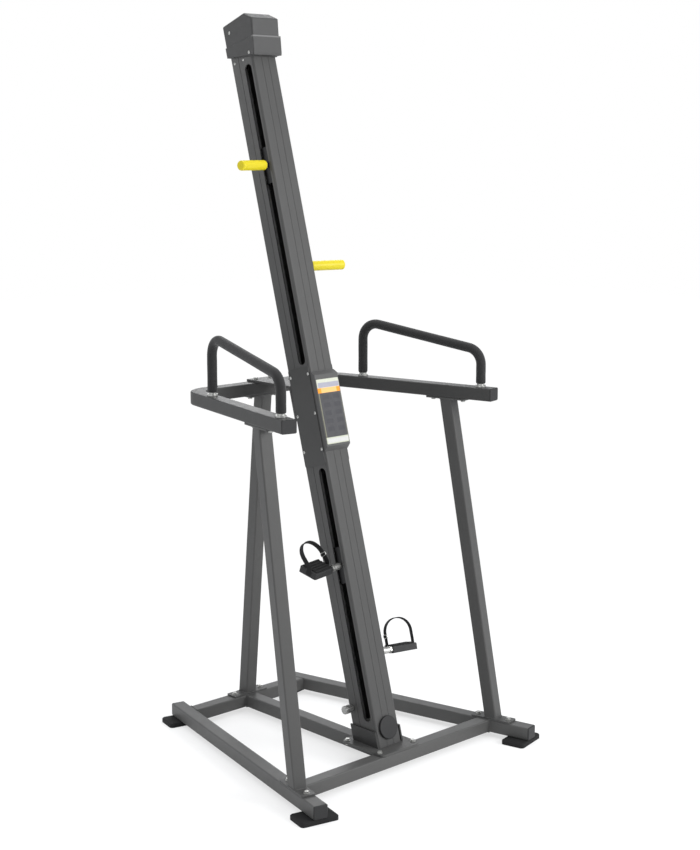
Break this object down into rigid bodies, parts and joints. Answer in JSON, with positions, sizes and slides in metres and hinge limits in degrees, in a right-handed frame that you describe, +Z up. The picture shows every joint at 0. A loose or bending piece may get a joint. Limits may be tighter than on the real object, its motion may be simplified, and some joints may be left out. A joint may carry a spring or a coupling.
{
  "type": "vertical stair climber",
  "caption": "Leaning-mast climbing trainer: counter-moving handle and pedal slides in a slotted mast, on a braced floor frame with side handrails.",
  "frame": {"origin": "middle of the footprint on the floor, under the feet", "axes": "+X to the user's right, +Y away from the user, +Z up"},
  "size_m": [1.0836, 1.0382, 2.4232],
  "materials": {
    "frame_paint": "satin dark grey powder coat",
    "mast_paint": "satin dark grey powder coat",
    "zinc": "zinc plated",
    "steel_bar": "bright drawn",
    "cast_alloy": "machined",
    "dark_alloy": "black anodised",
    "shoe_paint": "satin dark grey powder coat",
    "black_plastic": "fine grain",
    "cover_plastic": "fine grain",
    "glide_plastic": "smooth",
    "panel_film": "satin film",
    "foot_rubber": "matt",
    "foam": "matt foam",
    "belt": "woven back",
    "yellow_grip": "smooth matt"
  },
  "bodies": {
    "frame": {"left_base_rail": "frame_paint", "right_base_rail": "frame_paint", "front_cross_tube": "frame_paint", "rear_cross_tube": "frame_paint", "centre_rail": "frame_paint", "foot_pads": "foot_rubber", "tube_end_caps": "black_plastic", "front_leg_left": "frame_paint", "front_leg_right": "frame_paint", "rear_leg": "frame_paint", "leg_bolts": "zinc", "handrail_frame": "frame_paint", "left_handrail_loop": "zinc", "right_handrail_loop": "zinc", "left_handrail_grip": "foam", "right_handrail_grip": "foam", "mast_tube": "mast_paint", "mast_shoe": "shoe_paint", "shoe_bolts": "zinc", "mast_bracket": "frame_paint", "bracket_bolts": "zinc", "guide_bars": "steel_bar", "stop_bumpers": "foot_rubber", "drive_belt": "belt", "low_wheel_axle": "steel_bar", "high_wheel_axle": "steel_bar", "wheel_cap": "black_plastic", "console_housing": "cover_plastic", "console_panel": "panel_film", "left_side_cover": "mast_paint", "right_side_cover": "mast_paint", "top_housing": "cover_plastic", "panel_screws": "zinc", "pin_barrel": "zinc"},
    "left_slide": {"left_slide_rod": "steel_bar", "left_lower_carriage": "dark_alloy", "left_upper_carriage": "dark_alloy", "left_glide_pads": "glide_plastic", "left_handle_bar": "steel_bar", "left_handle_grip": "yellow_grip", "left_pedal_axle": "zinc", "left_axle_nut": "zinc"},
    "left_foot": {"left_pedal": "black_plastic", "left_pedal_tread": "foot_rubber", "left_toe_strap": "foot_rubber"},
    "right_slide": {"right_slide_rod": "steel_bar", "right_lower_carriage": "dark_alloy", "right_upper_carriage": "dark_alloy", "right_glide_pads": "glide_plastic", "right_handle_bar": "steel_bar", "right_handle_grip": "yellow_grip", "right_pedal_axle": "zinc", "right_axle_nut": "zinc"},
    "right_foot": {"right_pedal": "black_plastic", "right_pedal_tread": "foot_rubber", "right_toe_strap": "foot_rubber"},
    "low_wheel": {"low_belt_wheel": "cast_alloy"},
    "high_wheel": {"high_belt_wheel": "cast_alloy"},
    "pin": {"stop_pin": "cast_alloy"}
  },
  "joints": [
    {"name": "left_slide_travel", "type": "slide", "parent": "frame", "child": "left_slide", "axis": [0, 0.2644, 0.9644], "range_m": [-0.48, 0.173]},
    {"name": "right_slide_travel", "type": "slide", "parent": "frame", "child": "right_slide", "axis": [0, 0.2644, 0.9644], "range_m": [-0.173, 0.48]},
    {"name": "left_pedal_swing", "type": "hinge", "parent": "left_slide", "child": "left_foot", "pos_m": [-0.051, -0.12268, 0.64252], "axis": [0.9744, 0.225, 0], "range_deg": [-44, 12]},
    {"name": "right_pedal_swing", "type": "hinge", "parent": "right_slide", "child": "right_foot", "pos_m": [0.051, -0.20385, 0.34645], "axis": [0.9744, -0.225, 0], "range_deg": [-14, 42]},
    {"name": "low_wheel_spin", "type": "hinge", "parent": "frame", "child": "low_wheel", "pos_m": [0, -0.22293, 0.10282], "axis": [0, 0.9644, -0.2644], "range_deg": [-1075, 390]},
    {"name": "high_wheel_spin", "type": "hinge", "parent": "frame", "child": "high_wheel", "pos_m": [0, 0.38778, 2.33063], "axis": [0, 0.9644, -0.2644], "range_deg": [-1075, 390]},
    {"name": "pin_pull", "type": "slide", "parent": "frame", "child": "pin", "axis": [-1, 0, 0], "range_m": [0, 0.012], "stiffness_N_per_m": 400, "springref_m": -0.01}
  ],
  "couplings": [
    {"joint": "right_slide_travel", "follows": "left_slide_travel", "ratio": -1},
    {"joint": "low_wheel_spin", "follows": "left_slide_travel", "rad_per_m": 38.76},
    {"joint": "high_wheel_spin", "follows": "left_slide_travel", "rad_per_m": 38.76}
  ]
}
